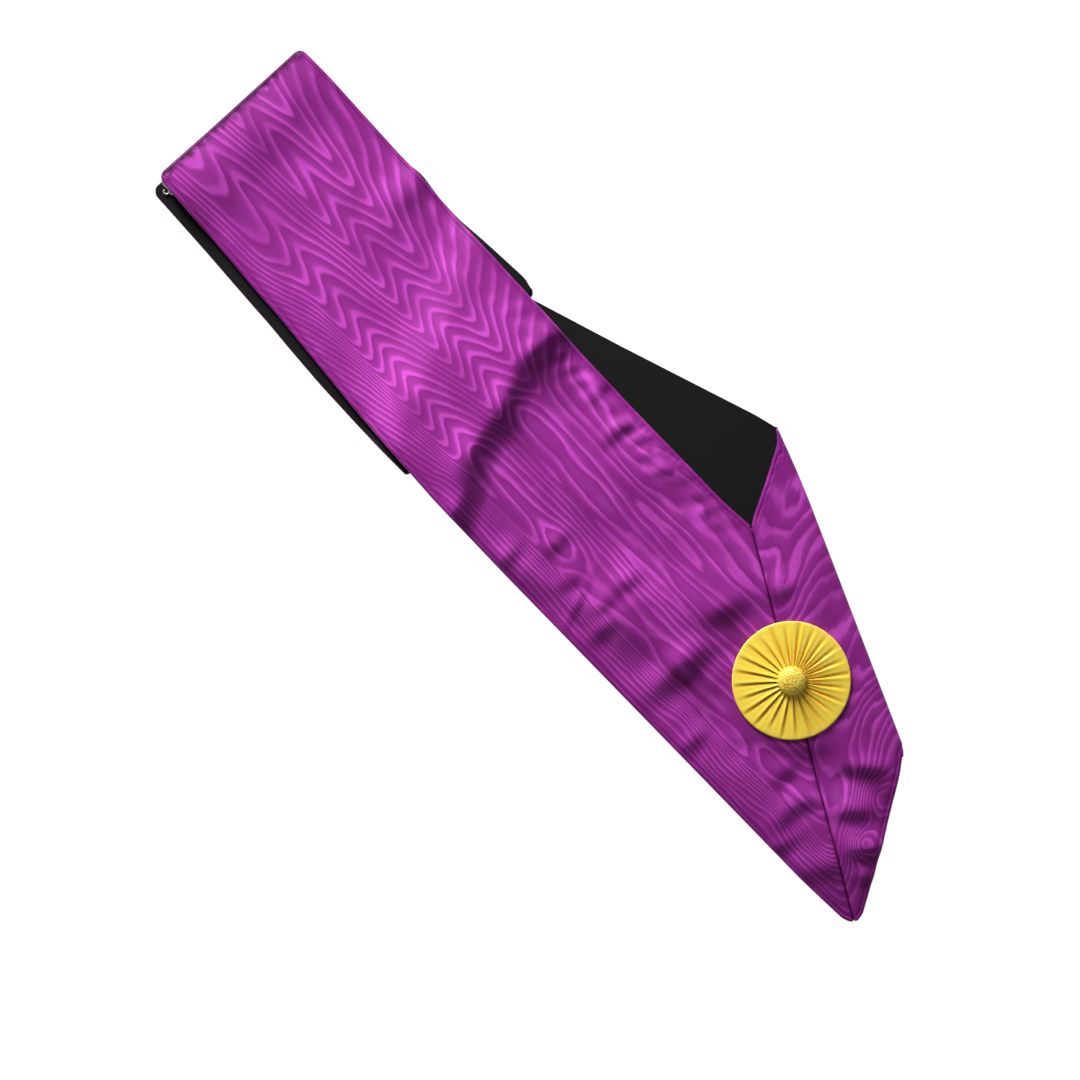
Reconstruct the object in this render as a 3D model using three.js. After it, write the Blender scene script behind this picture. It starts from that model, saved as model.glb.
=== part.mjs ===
// A lodge officer's collar of moire ribbon, lying folded on a flat surface.
import * as THREE from 'three'

// Driving dimensions in millimetres. Along runs up the long strap from the V to the nape, across
// runs over that strap to its neck side, and height is above the surface that the collar lies on.
const CLOTH = 1.0
const PLY_GAP = 0.3
const LAYER_GAP = 0.7
const EDGE_TURN = 0.8
const MITRE_GAP = 0.4
const NAPE_CORNER = 4.0

const STRAP_THICK = 2 * CLOTH + PLY_GAP
const FLOOR_MID = STRAP_THICK / 2
const LAYER = STRAP_THICK + LAYER_GAP
const FOLD_RADIUS = LAYER / 2

const ACROSS_CELLS = 8
const FOLD_STEPS = 6

// Where the straps meet and fold, each place as its distance along and across.
const spot = (along, across) => new THREE.Vector2(along, across)
const VEE_TIP = spot(-1.6, -0.5)
const VEE_NOTCH = spot(173.6, 98)
const RIGHT_FOLD_FOOT = spot(38.1, 71.4)
const RIGHT_FOLD_HEAD = spot(198.5, 137.8)
const TUCK_BACK_LOW = spot(313.2, -4.2)
const TUCK_BACK_HIGH = spot(353.6, 89.5)
const TUCK_FRONT_LOW = spot(309, -6.5)
const TUCK_FRONT_HIGH = spot(334, 101.3)
const SECOND_TUCK = spot(408.5, 101.5)

// The rosette covers the mitre, and the nape is held by a wire hook and eye at one corner.
const ROSETTE_PLACE = spot(105.1, 59.4)
const ROSETTE_RADIUS = 29.1
const PLEAT_COUNT = 24
const BUTTON_RADIUS = 7.1
const CATCH_PLACE = spot(488, 10.5)
const WIRE_RADIUS = 0.35

const smooth = (x) => THREE.MathUtils.smoothstep(x, 0, 1)
const mix = THREE.MathUtils.lerp

// Distance of a place from the line through two others, positive on the nape side of the line.
function beyond(low, high, along, across) {
  const line = high.clone().sub(low).normalize()
  return (along - low.x) * line.y - (across - low.y) * line.x
}

// Soft rises of the upper cloths, a row for each: its middle, its reach, its turn and its height.
const SWELLS = [
  { along: 262, across: 30, length: 30, width: 24, turn: 20, rise: 2.0 },
  { along: 232, across: 78, length: 26, width: 17, turn: -25, rise: 1.8 },
  { along: 190, across: 22, length: 24, width: 22, turn: 30, rise: 2.6 },
  { along: 152, across: 45, length: 16, width: 34, turn: 4, rise: 2.4 },
  { along: 66, across: 14, length: 30, width: 13, turn: 15, rise: 1.8 },
  { along: 126, across: 104, length: 26, width: 9, turn: 55, rise: 1.4 },
  { along: 322, across: 45, length: 30, width: 70, turn: 14, rise: 2.5 },
  { along: 480, across: 55, length: 16, width: 60, turn: 0, rise: 1.8 },
]

function swellRise(along, across) {
  let rise = 0
  for (const swell of SWELLS) {
    const turn = THREE.MathUtils.degToRad(swell.turn)
    const run = (along - swell.along) * Math.cos(turn) + (across - swell.across) * Math.sin(turn)
    const side = (across - swell.across) * Math.cos(turn) - (along - swell.along) * Math.sin(turn)
    rise += swell.rise * Math.exp(-((run / swell.length) ** 2) - (side / swell.width) ** 2)
  }
  return rise
}

// The cloth under the long strap ends at a line from the right fold to the tuck. Past that line the
// upper cloth sags to the floor.
const SAG_END = 10
const SAG_RUN = 14
function carried(along, across) {
  const past = -beyond(RIGHT_FOLD_FOOT, TUCK_FRONT_LOW, along, across)
  return smooth((past + SAG_END + SAG_RUN) / SAG_RUN)
}

// The first tuck stacks three cloths. The stiff upper cloth climbs some way ahead of its front
// crease, and lies down again behind its back crease.
const TUCK_REST = 4
const TUCK_SLOPE = 25
const TUCK_CLIMB = 16
const TUCK_LEAD = 19
function offTuck(along, across) {
  const past = beyond(TUCK_BACK_LOW, TUCK_BACK_HIGH, along, across)
  return 1 - smooth((past - TUCK_REST) / TUCK_SLOPE)
}
function overTuck(along, across) {
  const past = beyond(TUCK_FRONT_LOW, TUCK_FRONT_HIGH, along, across)
  return smooth((past + TUCK_LEAD + TUCK_CLIMB) / TUCK_CLIMB) * offTuck(along, across)
}

// The second tuck is a small gather of the under cloth at its neck edge only.
const SECOND_TUCK_RISE = 3
const SECOND_TUCK_LENGTH = 9
const SECOND_TUCK_WIDTH = 45
function secondTuck(along, across) {
  const ridge = Math.exp(-(((along - SECOND_TUCK.x) / SECOND_TUCK_LENGTH) ** 2))
  return SECOND_TUCK_RISE * ridge * smooth((across - SECOND_TUCK.y) / SECOND_TUCK_WIDTH + 1)
}

// The wire catch holds the upper end off the lower one at its corner.
const CATCH_LIFT = 3.2
const CATCH_REACH = 22
const catchLift = (along, across) =>
  CATCH_LIFT * Math.exp(-(((along - CATCH_PLACE.x) ** 2 + (across - CATCH_PLACE.y) ** 2) / CATCH_REACH ** 2))

// Height of the middle of the cloth in each run of the collar.
const ROSETTE_BED = 42
const BED_BLEND = 14
function topHeight(along, across) {
  const free = FLOOR_MID + LAYER * (carried(along, across) + 2 * overTuck(along, across)) +
    secondTuck(along, across) + catchLift(along, across) + swellRise(along, across)
  const away = Math.hypot(along - ROSETTE_PLACE.x, across - ROSETTE_PLACE.y)
  return mix(FLOOR_MID + LAYER, free, smooth((away - ROSETTE_BED) / BED_BLEND))
}
const creaseHeight = () => FLOOR_MID + LAYER
const underHeight = () => FLOOR_MID
const tuckHeight = () => FLOOR_MID + LAYER
const outHeight = (along, across) =>
  FLOOR_MID + 2 * LAYER * offTuck(along, across) + secondTuck(along, across)

// One row of a strap's path: the low end is on its outer edge and the high end on its neck edge.
// The cells lead up to the row, and height holds from the row on. A fold turns the cloth over.
const row = (low, high, cells, height, fold = false) => ({ low, high, cells, height, fold })

const mitreRow = (side) => {
  const line = VEE_NOTCH.clone().sub(VEE_TIP).normalize()
  const shift = spot(-line.y, line.x).multiplyScalar((side * MITRE_GAP) / 2)
  return row(VEE_TIP.clone().add(shift), VEE_NOTCH.clone().add(shift), 1, topHeight)
}

// A finished end at the nape, with its two corners rounded.
function roundedEnd(low, high, cells, height) {
  const run = high.clone().sub(low).normalize()
  const back = spot(-run.y, run.x).multiplyScalar(Math.sign(run.y))
  return [0, 45, 90].map((turn, index) => {
    const angle = THREE.MathUtils.degToRad(turn)
    const drawn = run.clone().multiplyScalar(NAPE_CORNER * (1 - Math.cos(angle)))
    const short = back.clone().multiplyScalar(NAPE_CORNER * (1 - Math.sin(angle)))
    const rowLow = low.clone().add(drawn).add(short)
    const rowHigh = high.clone().sub(drawn).add(short)
    return row(rowLow, rowHigh, index === 0 ? cells : 1, height)
  })
}

// A row beside a tuck: parallel to its line at a distance past it, between two edges of the strap.
function tuckRow(low, high, past, lowAcross, highAcross, cells, height) {
  const line = high.clone().sub(low).normalize()
  const at = (across) => spot(low.x + ((across - low.y) * line.x + past) / line.y, across)
  return row(at(lowAcross), at(highAcross), cells, height)
}
const CLIMB_START = -(TUCK_LEAD + TUCK_CLIMB)
const REST_END = TUCK_REST + TUCK_SLOPE
const TUCK_FRONT = [TUCK_FRONT_LOW, TUCK_FRONT_HIGH]
const TUCK_BACK = [TUCK_BACK_LOW, TUCK_BACK_HIGH]

const LEFT_PATH = [
  mitreRow(-1),
  row(spot(2.2, -3.8), spot(178, 97.3), 1, topHeight),
  row(spot(30, -4.9), spot(191, 96.3), 2, topHeight),
  row(spot(240, -4.9), spot(255, 96.2), 12, topHeight),
  tuckRow(...TUCK_FRONT, CLIMB_START, -4.5, 96.7, 3, topHeight),
  tuckRow(...TUCK_FRONT, -TUCK_LEAD, -4.3, 97.2, 3, topHeight),
  tuckRow(...TUCK_BACK, TUCK_REST, -4.1, 98.2, 1, topHeight),
  tuckRow(...TUCK_BACK, REST_END, -2.6, 98.8, 4, topHeight),
  row(spot(394.5, 1.3), spot(394.5, 99.7), 2, topHeight),
  row(spot(408.5, 2.3), spot(408.5, 100.4), 2, topHeight),
  row(spot(422.5, 3.4), spot(422.5, 100.8), 2, topHeight),
  ...roundedEnd(spot(495.4, 9.1), spot(491.5, 101.3), 5, topHeight),
]

const RIGHT_PATH = [
  mitreRow(1),
  row(spot(-3.4, 3.4), spot(174.8, 99.9), 1, topHeight),
  row(spot(17, 37.4), spot(185, 118.6), 3, topHeight),
  row(spot(34.5, 66), spot(196.5, 134.6), 3, topHeight),
  row(RIGHT_FOLD_FOOT, RIGHT_FOLD_HEAD, 1, underHeight, true),
  row(spot(56, 67.5), spot(211.5, 135.4), 1, underHeight),
  row(spot(175, 37.6), spot(280, 113), 3, underHeight),
  row(TUCK_BACK_LOW, TUCK_BACK_HIGH, 3, tuckHeight, true),
  row(TUCK_FRONT_LOW, TUCK_FRONT_HIGH, 1, outHeight, true),
  tuckRow(...TUCK_BACK, TUCK_REST, -6.2, 101.2, 1, outHeight),
  tuckRow(...TUCK_BACK, REST_END, -5.2, 99.4, 4, outHeight),
  row(spot(394.5, -3.9), spot(394.5, 99.8), 2, outHeight),
  row(spot(408.5, -3), SECOND_TUCK, 2, outHeight),
  row(spot(422.5, -1.9), spot(422.5, 100.2), 2, outHeight),
  ...roundedEnd(spot(496.4, 3.9), spot(492.6, 98.5), 4, outHeight),
]

const place = (along, across, height) => new THREE.Vector3(across, along, height)

// A line over the cloth where it lies flat. The offset is a distance off its middle, on the face side.
function flatLine(low, high, height, faceUp) {
  return (share, offset) => {
    const along = mix(low.x, high.x, share)
    const across = mix(low.y, high.y, share)
    return place(along, across, height(along, across) + offset * faceUp)
  }
}

// A line over the cloth part way round a fold, whose bend stands out from the crease to one side.
function bentLine(low, high, from, to, faceUp, outward, angle) {
  return (share, offset) => {
    const along = mix(low.x, high.x, share)
    const across = mix(low.y, high.y, share)
    const start = from(along, across)
    const end = to(along, across)
    const reach = FOLD_RADIUS + offset * faceUp * Math.sign(start - end)
    const middle = (start + end) / 2
    const height = middle + Math.sign(start - end) * reach * Math.cos(angle)
    const out = reach * Math.sin(angle)
    return place(along + outward.x * out, across + outward.y * out, height)
  }
}

// All the lines of a strap in the order of its cloth, from the mitre to the nape.
function strapLines(path) {
  const lines = [flatLine(path[0].low, path[0].high, path[0].height, 1)]
  let faceUp = 1
  for (let index = 1; index < path.length; index++) {
    const before = path[index - 1]
    const here = path[index]
    for (let cell = 1; cell <= here.cells; cell++) {
      const low = before.low.clone().lerp(here.low, cell / here.cells)
      const high = before.high.clone().lerp(here.high, cell / here.cells)
      const last = cell === here.cells && here.fold
      const height = last && before.height === topHeight ? creaseHeight : before.height
      lines.push(flatLine(low, high, height, faceUp))
    }
    if (here.fold) {
      const from = before.height === topHeight ? creaseHeight : before.height
      const crease = here.high.clone().sub(here.low).normalize()
      const outward = spot(crease.y, -crease.x)
      const ahead = here.low.clone().add(here.high).sub(before.low).sub(before.high)
      if (outward.dot(ahead) < 0) outward.negate()
      for (let step = 1; step < FOLD_STEPS; step++) {
        const angle = (Math.PI * step) / FOLD_STEPS
        lines.push(bentLine(here.low, here.high, from, here.height, faceUp, outward, angle))
      }
      faceUp = -faceUp
      lines.push(flatLine(here.low, here.high, here.height, faceUp))
    }
  }
  return lines
}

// The section of the moire face: a flat cloth whose two long edges turn down over the lining's edges.
// Across, it is measured in shares of the strap's width.
const STRAP_WIDTH = 101.6
const TURN_SHARE = EDGE_TURN / STRAP_WIDTH
const LINING_SHARE = (EDGE_TURN + PLY_GAP) / STRAP_WIDTH

function acrossPoints(from, to, offset) {
  const points = []
  for (let cell = 0; cell <= ACROSS_CELLS; cell++) {
    const share = THREE.MathUtils.clamp(cell / ACROSS_CELLS, Math.min(from, to), Math.max(from, to))
    points.push(spot(share, offset))
  }
  return from < to ? points : points.reverse()
}

const FACE_SECTION = [
  ...acrossPoints(1, 0, STRAP_THICK / 2),
  spot(0, -STRAP_THICK / 2),
  spot(TURN_SHARE, -STRAP_THICK / 2),
  ...acrossPoints(TURN_SHARE, 1 - TURN_SHARE, PLY_GAP / 2),
  spot(1 - TURN_SHARE, -STRAP_THICK / 2),
  spot(1, -STRAP_THICK / 2),
]

const LINING_SECTION = [
  ...acrossPoints(1 - LINING_SHARE, LINING_SHARE, -PLY_GAP / 2),
  ...acrossPoints(LINING_SHARE, 1 - LINING_SHARE, -STRAP_THICK / 2),
]

// Lofts a section along the lines of a strap. At the nape the cloth stops short by a share of the
// last cell. Both skins of a cloth split their cells on the same diagonal, so its walls stay even.
// The straps are cut as a mirrored pair, so their faces wind opposite ways.
function strapPiece(section, path, mirrored, short) {
  const lines = strapLines(path)
  const last = lines.length - 1
  const size = section.length
  const points = lines.flatMap((line, index) => section.map((point) => {
    const here = line(point.x, point.y)
    return index === last ? here.lerp(lines[last - 1](point.x, point.y), short) : here
  }))
  const faces = []
  const addFace = (a, b, c) => faces.push(...(mirrored ? [a, c, b] : [a, b, c]))
  for (let index = 0; index < last; index++) {
    for (let corner = 0; corner < size; corner++) {
      const next = (corner + 1) % size
      const [a, b] = [index * size + corner, index * size + next]
      const [c, d] = [a + size, b + size]
      if (section[next].x < section[corner].x) {
        addFace(a, b, c)
        addFace(b, d, c)
      } else {
        addFace(a, b, d)
        addFace(a, d, c)
      }
    }
  }
  for (const [a, b, c] of THREE.ShapeUtils.triangulateShape(section, [])) {
    addFace(a, c, b)
    addFace(last * size + a, last * size + b, last * size + c)
  }
  const cloth = new THREE.BufferGeometry().setFromPoints(points)
  cloth.setIndex(faces)
  cloth.computeVertexNormals()
  return cloth
}

// The rosette: a ribbon gathered into a round of pleats, sharp at the button and fading to the rim.
const ROSETTE_SEAT = FLOOR_MID + LAYER + STRAP_THICK / 2 + PLY_GAP
const ROSETTE_BASE = 1.2
const ROSETTE_RIM = 1.5
const PLEAT_RISE = 1.9
const RIM_RISE = 0.3
const PLEAT_SWIRL = 0.9
const HUB_RADIUS = 6.3
const PLEAT_SIDES = 4

function rosettePleats() {
  const rim = ROSETTE_RADIUS
  const rings = [rim - 0.4, mix(rim, HUB_RADIUS, 0.3), mix(rim, HUB_RADIUS, 0.6), mix(rim, HUB_RADIUS, 0.87)]
  const profile = [
    spot(0, 0),
    spot(rim - 0.6, 0),
    spot(rim, ROSETTE_RIM / 2),
    ...rings.map((ring) => spot(ring, ROSETTE_BASE)),
    spot(HUB_RADIUS, ROSETTE_BASE),
    spot(0, ROSETTE_BASE),
  ]
  const ribbon = new THREE.LatheGeometry(profile, PLEAT_COUNT * PLEAT_SIDES)
  const points = ribbon.attributes.position
  for (let index = 0; index < points.count; index++) {
    const x = points.getX(index)
    const z = points.getZ(index)
    const reach = Math.hypot(x, z)
    const inward = (rim - reach) / (rim - HUB_RADIUS)
    if (points.getY(index) < ROSETTE_BASE || reach < HUB_RADIUS + 0.1) continue
    const phase = PLEAT_COUNT * Math.atan2(z, x) + PLEAT_SWIRL * Math.PI * inward ** 2
    const ridge = (0.5 + 0.5 * Math.cos(phase)) * mix(RIM_RISE, PLEAT_RISE, inward)
    points.setY(index, points.getY(index) + ridge + (ROSETTE_RIM - ROSETTE_BASE) * (1 - inward))
  }
  return ribbon.rotateX(Math.PI / 2)
}

// The button: a covered dome on a short neck, which stands clear of the pleats.
const BUTTON_NECK = 5.6
const BUTTON_LIFT = ROSETTE_BASE + PLEAT_RISE + PLY_GAP
const BUTTON_RISE = 4.0
const BUTTON_EDGE = 0.7
const BUTTON_RINGS = 5
const BUTTON_SIDES = 28

function rosetteButton() {
  const profile = [
    spot(0, ROSETTE_BASE + PLY_GAP),
    spot(BUTTON_NECK, ROSETTE_BASE + PLY_GAP),
    spot(BUTTON_NECK, BUTTON_LIFT),
    spot(BUTTON_RADIUS, BUTTON_LIFT + BUTTON_EDGE),
  ]
  for (let ring = 1; ring <= BUTTON_RINGS; ring++) {
    const angle = (Math.PI / 2) * (ring / BUTTON_RINGS)
    const reach = ring === BUTTON_RINGS ? 0 : BUTTON_RADIUS * Math.cos(angle)
    profile.push(spot(reach, BUTTON_LIFT + BUTTON_EDGE + BUTTON_RISE * Math.sin(angle)))
  }
  return new THREE.LatheGeometry(profile, BUTTON_SIDES).rotateX(Math.PI / 2)
}

// The nape's catch: two bent wires. Each ends in open rings that are sewn to a lining.
const RING_RADIUS = 1.3
const RING_STEPS = 5
const WIRE_SIDES = 6
const EYE_HALF = 2.9
const EYE_ARM = 3.0
const HOOK_HALF = 0.75
const HOOK_BEND = 2 * WIRE_RADIUS + PLY_GAP
const HOOK_RETURN = 2.5
const WIRE_LOW = STRAP_THICK + PLY_GAP + WIRE_RADIUS

// Points round part of a circle that stands on two directions.
function arcPoints(centre, first, second, radius, from, to, steps) {
  return Array.from({ length: steps + 1 }, (_, step) => {
    const angle = THREE.MathUtils.degToRad(mix(from, to, step / steps))
    return centre.clone()
      .addScaledVector(first, radius * Math.cos(angle))
      .addScaledVector(second, radius * Math.sin(angle))
  })
}

const RIGHT = new THREE.Vector3(1, 0, 0)
const AHEAD = new THREE.Vector3(0, 1, 0)
const UP = new THREE.Vector3(0, 0, 1)

// A wire that is alike on both sides: the left half's points are mirrored for the right half.
function mirroredWire(half) {
  const other = half.map((point) => new THREE.Vector3(-point.x, point.y, point.z)).reverse()
  const route = new THREE.CatmullRomCurve3([...half, ...other.slice(1)], false, 'catmullrom', 0.5)
  const circle = new THREE.Shape()
  circle.absarc(0, 0, WIRE_RADIUS, 0, 2 * Math.PI)
  const section = new THREE.Shape(circle.getSpacedPoints(WIRE_SIDES).slice(0, WIRE_SIDES))
  const steps = route.points.length * 2
  return new THREE.ExtrudeGeometry(section, { steps, extrudePath: route, bevelEnabled: false })
}

function sewnRing(side, height) {
  const centre = new THREE.Vector3(side - RING_RADIUS, 0, height)
  return arcPoints(centre, RIGHT, AHEAD, RING_RADIUS, 90, 345, RING_STEPS)
}

function napeEye() {
  const arch = new THREE.Vector3(0, EYE_ARM, WIRE_LOW)
  const loop = arcPoints(arch, RIGHT, AHEAD, EYE_HALF, 180, 90, 4)
  loop.forEach((point, index) => point.setZ(WIRE_LOW + HOOK_BEND * smooth(index / 3)))
  return mirroredWire([...sewnRing(-EYE_HALF, WIRE_LOW), ...loop])
}

function napeHook() {
  const front = EYE_ARM + EYE_HALF
  const shank = front + HOOK_RETURN
  const top = WIRE_LOW + 2 * HOOK_BEND
  const bend = new THREE.Vector3(-HOOK_HALF, shank, top - HOOK_BEND)
  const turn = new THREE.Vector3(0, shank - HOOK_RETURN, WIRE_LOW)
  return mirroredWire([
    ...sewnRing(-HOOK_HALF, top),
    new THREE.Vector3(-HOOK_HALF, shank / 2, top),
    ...arcPoints(bend, AHEAD, UP, HOOK_BEND, 90, -90, 4),
    ...arcPoints(turn, RIGHT, AHEAD, HOOK_HALF, 180, 270, 2),
  ]).translate(0, -HOOK_RETURN, 0)
}

// Colours and finishes of the real materials.
const purpleMoire = new THREE.MeshStandardMaterial({ color: 0x993493, roughness: 0.45, metalness: 0 })
const blackSateen = new THREE.MeshStandardMaterial({ color: 0x171617, roughness: 0.85, metalness: 0 })
const goldSatin = new THREE.MeshStandardMaterial({ color: 0xdfb430, roughness: 0.5, metalness: 0 })
const goldCloth = new THREE.MeshStandardMaterial({ color: 0xe9cb4d, roughness: 0.4, metalness: 0.6 })
const nickelWire = new THREE.MeshStandardMaterial({ color: 0xc4c2bf, roughness: 0.3, metalness: 1 })

function named(name, shape, material, position = new THREE.Vector3()) {
  const mesh = new THREE.Mesh(shape, material)
  mesh.name = name
  mesh.position.copy(position)
  return mesh
}

const LINING_SHORT = 0.5
const rosetteAt = place(ROSETTE_PLACE.x, ROSETTE_PLACE.y, ROSETTE_SEAT)
const catchAt = place(CATCH_PLACE.x, CATCH_PLACE.y, 0)

const collar = new THREE.Group()
collar.add(
  named('left_strap_face', strapPiece(FACE_SECTION, LEFT_PATH, true, 0), purpleMoire),
  named('left_strap_lining', strapPiece(LINING_SECTION, LEFT_PATH, true, LINING_SHORT), blackSateen),
  named('right_strap_face', strapPiece(FACE_SECTION, RIGHT_PATH, false, 0), purpleMoire),
  named('right_strap_lining', strapPiece(LINING_SECTION, RIGHT_PATH, false, LINING_SHORT), blackSateen),
  named('rosette_pleats', rosettePleats(), goldSatin, rosetteAt),
  named('rosette_button', rosetteButton(), goldCloth, rosetteAt),
  named('nape_hook', napeHook(), nickelWire, catchAt),
  named('nape_eye', napeEye(), nickelWire, catchAt),
)

// The origin is on the surface, under the middle of the whole collar.
const reach = new THREE.Box3().setFromObject(collar)
const middle = reach.getCenter(new THREE.Vector3())
collar.position.set(-middle.x, -middle.y, -reach.min.z)

export default collar
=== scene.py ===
import math

import bmesh
import bpy
import numpy as np
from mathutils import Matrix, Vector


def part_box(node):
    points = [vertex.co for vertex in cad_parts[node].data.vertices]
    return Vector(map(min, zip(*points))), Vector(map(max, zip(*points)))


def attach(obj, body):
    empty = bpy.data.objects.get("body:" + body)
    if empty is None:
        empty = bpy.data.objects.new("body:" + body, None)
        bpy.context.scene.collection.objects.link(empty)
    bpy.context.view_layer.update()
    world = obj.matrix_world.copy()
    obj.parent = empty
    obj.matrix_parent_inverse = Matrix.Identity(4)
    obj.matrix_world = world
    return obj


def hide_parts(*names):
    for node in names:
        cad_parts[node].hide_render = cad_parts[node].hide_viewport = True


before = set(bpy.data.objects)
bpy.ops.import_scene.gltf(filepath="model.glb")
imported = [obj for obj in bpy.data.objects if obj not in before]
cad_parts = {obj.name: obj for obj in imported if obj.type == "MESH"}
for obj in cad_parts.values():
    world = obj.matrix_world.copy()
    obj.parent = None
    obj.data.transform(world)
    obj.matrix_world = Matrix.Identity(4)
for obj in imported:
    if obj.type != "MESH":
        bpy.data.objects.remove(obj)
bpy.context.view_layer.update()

# The camera looks straight down on the collar from high above. It is turned so that the long strap
# runs from the upper left to the lower right of the picture. Places on the collar are in
# millimetres: along runs from the V to the nape, and across to the neck side.
MM = 0.001
ROSETTE_PLACE = (105.1, 59.4)
rosette_low, rosette_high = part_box("rosette_pleats")
rosette_middle = (rosette_low + rosette_high) / 2
ALONG_ORIGIN = ROSETTE_PLACE[0] - rosette_middle.y / MM
ACROSS_ORIGIN = ROSETTE_PLACE[1] - rosette_middle.x / MM

CAMERA_PLACE = (239.9, 18.7)
CAMERA_HEIGHT = 1.4
CAMERA_TURN = -44.0
SEEN_WIDTH = 0.5303
SENSOR_WIDTH = 36.0


def in_frame(along, across, height=0.0):
    """A place in the frame in metres, from millimetres on the collar."""
    return (across - ACROSS_ORIGIN) * MM, (along - ALONG_ORIGIN) * MM, height * MM


def linked(name, data):
    made = bpy.data.objects.new(name, data)
    bpy.context.collection.objects.link(made)
    return made


camera = linked("camera", bpy.data.cameras.new("camera"))
camera.location = in_frame(*CAMERA_PLACE, CAMERA_HEIGHT / MM)
camera.rotation_euler = (0, 0, math.radians(CAMERA_TURN))
camera.data.sensor_width = SENSOR_WIDTH
camera.data.lens = SENSOR_WIDTH * CAMERA_HEIGHT / SEEN_WIDTH
bpy.context.scene.camera = camera

# The long strap's face: one length of purple moire ribbon, cut on the slant at the V and hemmed
# at the nape. Its long edges are rolled under and stitched to the lining. It lies over the other
# strap, so it is raised by the folds beneath, and it has soft dents and creases of its own.
CLOTH = 1.0
STRAP_THICK = 2.3
HALF_THICK = STRAP_THICK / 2
LAYER = 3.0
FOLD_RADIUS = LAYER / 2
MITRE_GAP = 0.65
NAPE_CORNER = 4.0
VEE_TIP = (-1.6, -0.5)
VEE_NOTCH = (173.6, 98)
RIGHT_FOLD = ((40.1, 72.3), (199.9, 140.2))
TUCK_BACK = ((313.2, -4.2), (353.6, 89.5))
TUCK_FRONT = ((309, -6.5), (331.5, 101))
SECOND_TUCK = (408.5, 101.5)
CATCH_PLACE = (490, 9.9)


def smooth(x):
    x = np.clip(x, 0, 1)
    return x * x * (3 - 2 * x)


def mix(a, b, share):
    return a + (b - a) * share


def hump(x, middle, width):
    return np.exp(-(((x - middle) / width) ** 2))


def beyond(line, along, across):
    """Distance from a line on the plan, positive on the nape side."""
    low, high = np.array(line, float)
    run = (high - low) / np.linalg.norm(high - low)
    return (along - low[0]) * run[1] - (across - low[1]) * run[0]


def flowing(x, knots):
    """A soft curve through knots, each of which is a place and one or more values there."""
    knots = np.array(knots, float)
    places, values = knots[:, 0], knots[:, 1:]
    gaps = np.diff(places)
    slopes = np.diff(values, axis=0) / gaps[:, None]
    share = (gaps[:-1] / (gaps[:-1] + gaps[1:]))[:, None]
    tangents = np.vstack([slopes[:1], mix(slopes[:-1], slopes[1:], share), slopes[-1:]])
    cell = np.clip(np.searchsorted(places, x) - 1, 0, len(gaps) - 1)
    gap = gaps[cell][:, None]
    t = (np.clip(x, places[0], places[-1]) - places[cell])[:, None] / gap
    start = values[cell] * (1 + 2 * t) * (1 - t) ** 2 + tangents[cell] * gap * t * (1 - t) ** 2
    end = values[cell + 1] * t * t * (3 - 2 * t) + tangents[cell + 1] * gap * t * t * (t - 1)
    return start + end


# Soft rises of the upper cloths: middle, reach along and across, turn in degrees, and height.
SWELLS = [
    (258, 36, 30, 28, 20, 2.9),
    (232, 78, 26, 17, -25, 1.8),
    (190, 22, 24, 22, 30, 2.6),
    (168, 53, 15, 30, 6, 2.4),
    (80, 13, 29, 14, 10, 3.4),
    (126, 104, 26, 9, 55, 1.4),
    (322, 45, 30, 70, 14, 2.8),
    (480, 55, 15, 60, 0, 2.6),
    (29, 21, 20, 30, 25, 3.2),
]

# Creases, where the cloth drops steeply towards the V over a short way: the middle of the drop,
# its length and its width, the turn of its line from straight across the strap, and its depth. The
# cloth also swells round the drop, by a share of its depth and over more than its width.
CREASE_SWELL = 0.45
CREASE_SPREAD = 2.2
CREASES = [
    (271, 90, 7, 5, 0, 2.0),
    (250, 82, 10, 5, 6, 2.0),
    (222, 84, 6, 3, 35, 1.3),
    (231.5, 22.7, 7, 5, 0, 2.2),
    (214, 14, 7, 5, 20, 1.9),
    (243, 3, 7, 5, -10, 1.9),
    (204, 11, 15, 2.4, -20, 1.2),
    (194, 34, 8, 5, 10, 2.1),
    (194, 19, 6, 4.5, 0, 2.0),
    (185, 9, 8, 5, 0, 2.1),
    (144, 25, 20, 8, 3, 5.4),
    (150, 58, 12, 8, 18, 4.4),
    (115, 4, 8, 5, 0, 2.4),
    (100, 22, 8, 6, 20, 2.0),
    (73, 26, 8, 5, 10, 2.8),
    (56, 21, 9, 5, 30, 3.0),
    (57, 8, 9, 6, 0, 3.4),
    (48.5, 1.5, 9, 5, 10, 3.2),
    (26, 5, 12, 6, 30, 2.6),
    (138.5, 85, 8, 6, 20, 2.6),
    (47, 55, 16, 4.6, 45, 3.6),
    (36.7, 34.8, 13, 6, 45, 4.8),
    (18.5, 26.5, 11, 5.2, 45, 4.2),
    (9.3, 17, 7, 4, 45, 1.9),
    (305.5, 84, 10, 5, 0, 3.2),
    (298, 54, 10, 6, -34, 3.4),
    (290.5, 24, 15, 8, -24, 4.0),
    (276, 1, 8, 6, -30, 2.0),
]


def turned(at, side, turn, along, across):
    """How far places lie ahead of and aside from a middle, on lines turned by some degrees."""
    turn = math.radians(turn)
    ahead = (along - at) * math.cos(turn) + (across - side) * math.sin(turn)
    aside = (across - side) * math.cos(turn) - (along - at) * math.sin(turn)
    return ahead, aside


def soft_rises(along, across):
    height = np.zeros_like(along)
    for at, side, length, width, turn, rise in SWELLS:
        ahead, aside = turned(at, side, turn, along, across)
        height += rise * hump(ahead, 0, length) * hump(aside, 0, width)
    for at, side, length, width, turn, drop in CREASES:
        ahead, aside = turned(at, side, turn, along, across)
        past = ahead / width
        step = past * hump(past, 0, 1) + CREASE_SWELL * hump(past, 0, CREASE_SPREAD)
        height += drop * step * hump(aside, 0, length)
    return height


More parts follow.
